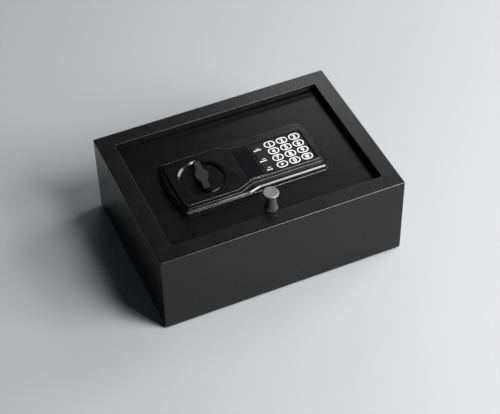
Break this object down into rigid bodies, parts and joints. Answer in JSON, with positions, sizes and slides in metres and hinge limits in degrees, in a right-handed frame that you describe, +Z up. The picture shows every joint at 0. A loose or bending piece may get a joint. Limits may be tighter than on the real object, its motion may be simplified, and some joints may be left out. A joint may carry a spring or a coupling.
{
  "type": "in-room safe",
  "caption": "Top-opening steel in-room safe with a recessed hinged lid, keypad lock panel, turn knob and pull knob.",
  "frame": {"origin": "centre of the footprint, on the surface that the feet stand on", "axes": "+Z up, +X along the long front edge, +Y towards the lid's hinge"},
  "size_m": [0.31, 0.226, 0.1294],
  "materials": {
    "powder_coat": "fine matt powder coat",
    "panel_plastic": "satin moulded plastic",
    "gloss_black": "high gloss",
    "keypad_plastic": "fine texture",
    "key_plastic": "satin with white print",
    "lens": "clear tinted",
    "knurled_rubber": "diamond knurl",
    "dark_metal": "satin",
    "zinc_steel": "zinc plated",
    "bright_steel": "ground",
    "brass": "plain",
    "nylon": "natural",
    "rubber": "matt",
    "felt": "felt",
    "circuit_board": "solder mask",
    "coil": "wound and taped",
    "inner_plastic": "fine spark texture",
    "cell": "printed sleeve",
    "red_plastic": "plain"
  },
  "bodies": {
    "safe_box": {"outer_shell": "powder_coat", "base_plate": "powder_coat", "floor_mat": "felt", "rubber_feet": "rubber", "lid_stop_rails": "powder_coat", "lid_bumpers": "rubber", "keeper_plate": "powder_coat", "hinge_bushes": "nylon"},
    "lid": {"lid_plate": "powder_coat", "hinge_pins": "zinc_steel", "pull_knob": "dark_metal", "pull_knob_screw": "zinc_steel", "panel_base": "panel_plastic", "panel_housing": "panel_plastic", "panel_cover": "panel_plastic", "panel_screws": "zinc_steel", "keypad_bezel": "panel_plastic", "keypad_plate": "keypad_plastic", "indicator_lenses": "lens", "keypad_board": "circuit_board", "lock_body": "zinc_steel", "lock_nut": "brass", "bolt_guide_plate": "powder_coat", "carriage_studs": "zinc_steel", "solenoid_coil": "coil", "mechanism_cover": "powder_coat", "cover_screws": "zinc_steel", "battery_box": "inner_plastic", "batteries": "cell", "reset_switch": "inner_plastic", "spindle_bush": "brass"},
    "turn_knob": {"turn_knob": "panel_plastic", "grip_insert": "knurled_rubber", "spindle": "zinc_steel", "spindle_clip": "zinc_steel", "cam": "zinc_steel"},
    "bolt_carriage": {"bolt_carriage": "zinc_steel", "live_bolts": "bright_steel"},
    "solenoid_plunger": {"solenoid_plunger": "bright_steel"},
    "key_plug": {"key_plug": "brass", "key_plug_cam": "zinc_steel"},
    "centre_cover": {"centre_cover": "gloss_black"},
    "battery_cover": {"battery_cover": "inner_plastic"},
    "reset_button": {"reset_button": "red_plastic"},
    "key_1": {"key_1": "key_plastic"},
    "key_2": {"key_2": "key_plastic"},
    "key_3": {"key_3": "key_plastic"},
    "key_4": {"key_4": "key_plastic"},
    "key_5": {"key_5": "key_plastic"},
    "key_6": {"key_6": "key_plastic"},
    "key_7": {"key_7": "key_plastic"},
    "key_8": {"key_8": "key_plastic"},
    "key_9": {"key_9": "key_plastic"},
    "key_star": {"key_star": "key_plastic"},
    "key_0": {"key_0": "key_plastic"},
    "key_hash": {"key_hash": "key_plastic"}
  },
  "joints": [
    {"name": "lid_hinge", "type": "hinge", "parent": "safe_box", "child": "lid", "pos_m": [0, 0.084, 0.0999], "axis": [-1, 0, 0], "range_deg": [0, 90]},
    {"name": "knob_turn", "type": "hinge", "parent": "lid", "child": "turn_knob", "pos_m": [-0.0595, -0.004, 0.1034], "axis": [0, 0, 1], "range_deg": [0, 90]},
    {"name": "bolt_throw", "type": "slide", "parent": "lid", "child": "bolt_carriage", "axis": [0, -1, 0], "range_m": [0, 0.012]},
    {"name": "plunger_slide", "type": "slide", "parent": "lid", "child": "solenoid_plunger", "axis": [-1, 0, 0], "range_m": [0, 0.004]},
    {"name": "key_turn", "type": "hinge", "parent": "lid", "child": "key_plug", "pos_m": [0.0001, -0.004, 0.1034], "axis": [0, 0, 1], "range_deg": [0, 90]},
    {"name": "cover_lift", "type": "slide", "parent": "lid", "child": "centre_cover", "axis": [0, 0, 1], "range_m": [0, 0.012]},
    {"name": "battery_cover_slide", "type": "slide", "parent": "lid", "child": "battery_cover", "axis": [0, 1, 0], "range_m": [0, 0.05]},
    {"name": "reset_press", "type": "slide", "parent": "lid", "child": "reset_button", "axis": [0, 0, 1], "range_m": [0, 0.001], "stiffness_N_per_m": 300},
    {"name": "key_1_press", "type": "slide", "parent": "lid", "child": "key_1", "axis": [0, 0, -1], "range_m": [0, 0.0006], "stiffness_N_per_m": 400},
    {"name": "key_2_press", "type": "slide", "parent": "lid", "child": "key_2", "axis": [0, 0, -1], "range_m": [0, 0.0006], "stiffness_N_per_m": 400},
    {"name": "key_3_press", "type": "slide", "parent": "lid", "child": "key_3", "axis": [0, 0, -1], "range_m": [0, 0.0006], "stiffness_N_per_m": 400},
    {"name": "key_4_press", "type": "slide", "parent": "lid", "child": "key_4", "axis": [0, 0, -1], "range_m": [0, 0.0006], "stiffness_N_per_m": 400},
    {"name": "key_5_press", "type": "slide", "parent": "lid", "child": "key_5", "axis": [0, 0, -1], "range_m": [0, 0.0006], "stiffness_N_per_m": 400},
    {"name": "key_6_press", "type": "slide", "parent": "lid", "child": "key_6", "axis": [0, 0, -1], "range_m": [0, 0.0006], "stiffness_N_per_m": 400},
    {"name": "key_7_press", "type": "slide", "parent": "lid", "child": "key_7", "axis": [0, 0, -1], "range_m": [0, 0.0006], "stiffness_N_per_m": 400},
    {"name": "key_8_press", "type": "slide", "parent": "lid", "child": "key_8", "axis": [0, 0, -1], "range_m": [0, 0.0006], "stiffness_N_per_m": 400},
    {"name": "key_9_press", "type": "slide", "parent": "lid", "child": "key_9", "axis": [0, 0, -1], "range_m": [0, 0.0006], "stiffness_N_per_m": 400},
    {"name": "key_star_press", "type": "slide", "parent": "lid", "child": "key_star", "axis": [0, 0, -1], "range_m": [0, 0.0006], "stiffness_N_per_m": 400},
    {"name": "key_0_press", "type": "slide", "parent": "lid", "child": "key_0", "axis": [0, 0, -1], "range_m": [0, 0.0006], "stiffness_N_per_m": 400},
    {"name": "key_hash_press", "type": "slide", "parent": "lid", "child": "key_hash", "axis": [0, 0, -1], "range_m": [0, 0.0006], "stiffness_N_per_m": 400}
  ],
  "couplings": [
    {"joint": "knob_turn", "follows": "bolt_throw", "rad_per_m": 130.89}
  ]
}
